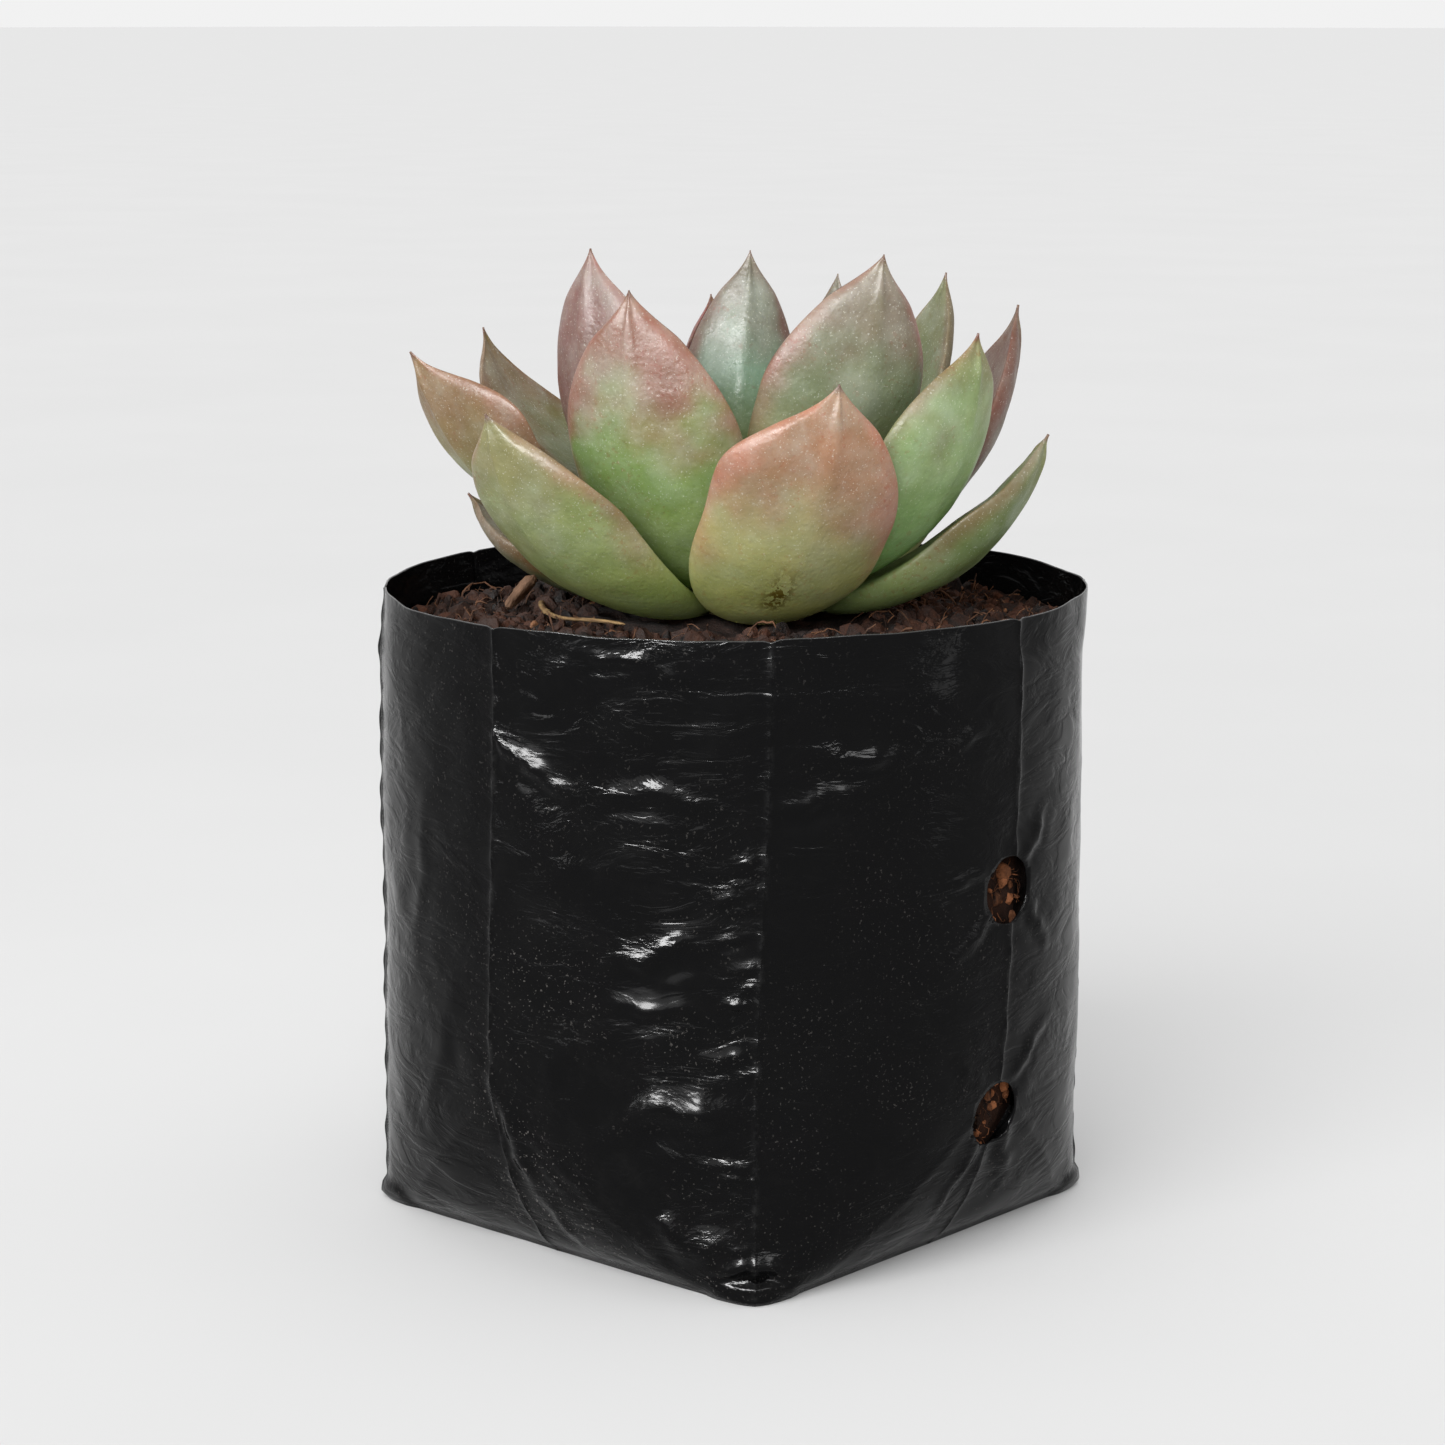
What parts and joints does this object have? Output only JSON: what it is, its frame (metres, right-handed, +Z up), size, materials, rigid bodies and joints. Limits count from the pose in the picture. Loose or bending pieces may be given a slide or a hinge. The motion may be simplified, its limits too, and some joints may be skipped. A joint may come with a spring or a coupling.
{
  "type": "potted succulent",
  "caption": "Rosette succulent with fleshy pointed leaves, growing in a soft square-based black film grow bag filled with potting mix.",
  "frame": {"origin": "middle of the flat square underside of the grow bag", "axes": "+Z up out of the bag's mouth; +X, -X, +Y and -Y look square out of the bag's four panels, and the drain holes are in the +X and -X panels"},
  "size_m": [0.097, 0.097, 0.1339],
  "materials": {
    "film_black": "thin black polythene film, glossy, creased and dusty",
    "potting_mix": "dark red-brown coir and bark potting mix, rough and fibrous",
    "leaf_green": "fleshy green leaf, blushed pink-brown at the tip and margins, with a waxy bloom",
    "stem_green": "green-brown stem and root skin",
    "bark_brown": "weathered bark chip",
    "straw_yellow": "dry straw"
  },
  "bodies": {
    "root": {"grow_bag": "film_black", "soil": "potting_mix", "stem": "stem_green", "leaf_outer_1": "leaf_green", "leaf_outer_2": "leaf_green", "leaf_outer_3": "leaf_green", "leaf_outer_4": "leaf_green", "leaf_outer_5": "leaf_green", "leaf_outer_6": "leaf_green", "leaf_middle_1": "leaf_green", "leaf_middle_2": "leaf_green", "leaf_middle_3": "leaf_green", "leaf_middle_4": "leaf_green", "leaf_middle_5": "leaf_green", "leaf_middle_6": "leaf_green", "leaf_inner_1": "leaf_green", "leaf_inner_2": "leaf_green", "leaf_inner_3": "leaf_green", "leaf_inner_4": "leaf_green", "leaf_inner_5": "leaf_green", "leaf_centre_1": "leaf_green", "leaf_centre_2": "leaf_green", "leaf_centre_3": "leaf_green", "leaf_centre_4": "leaf_green", "leaf_centre_5": "leaf_green", "leaf_bud_1": "leaf_green", "leaf_bud_2": "leaf_green", "leaf_bud_3": "leaf_green", "bark_chip_1": "bark_brown", "bark_chip_2": "bark_brown", "bark_chip_3": "bark_brown", "straw_stalk": "straw_yellow"}
  },
  "joints": []
}
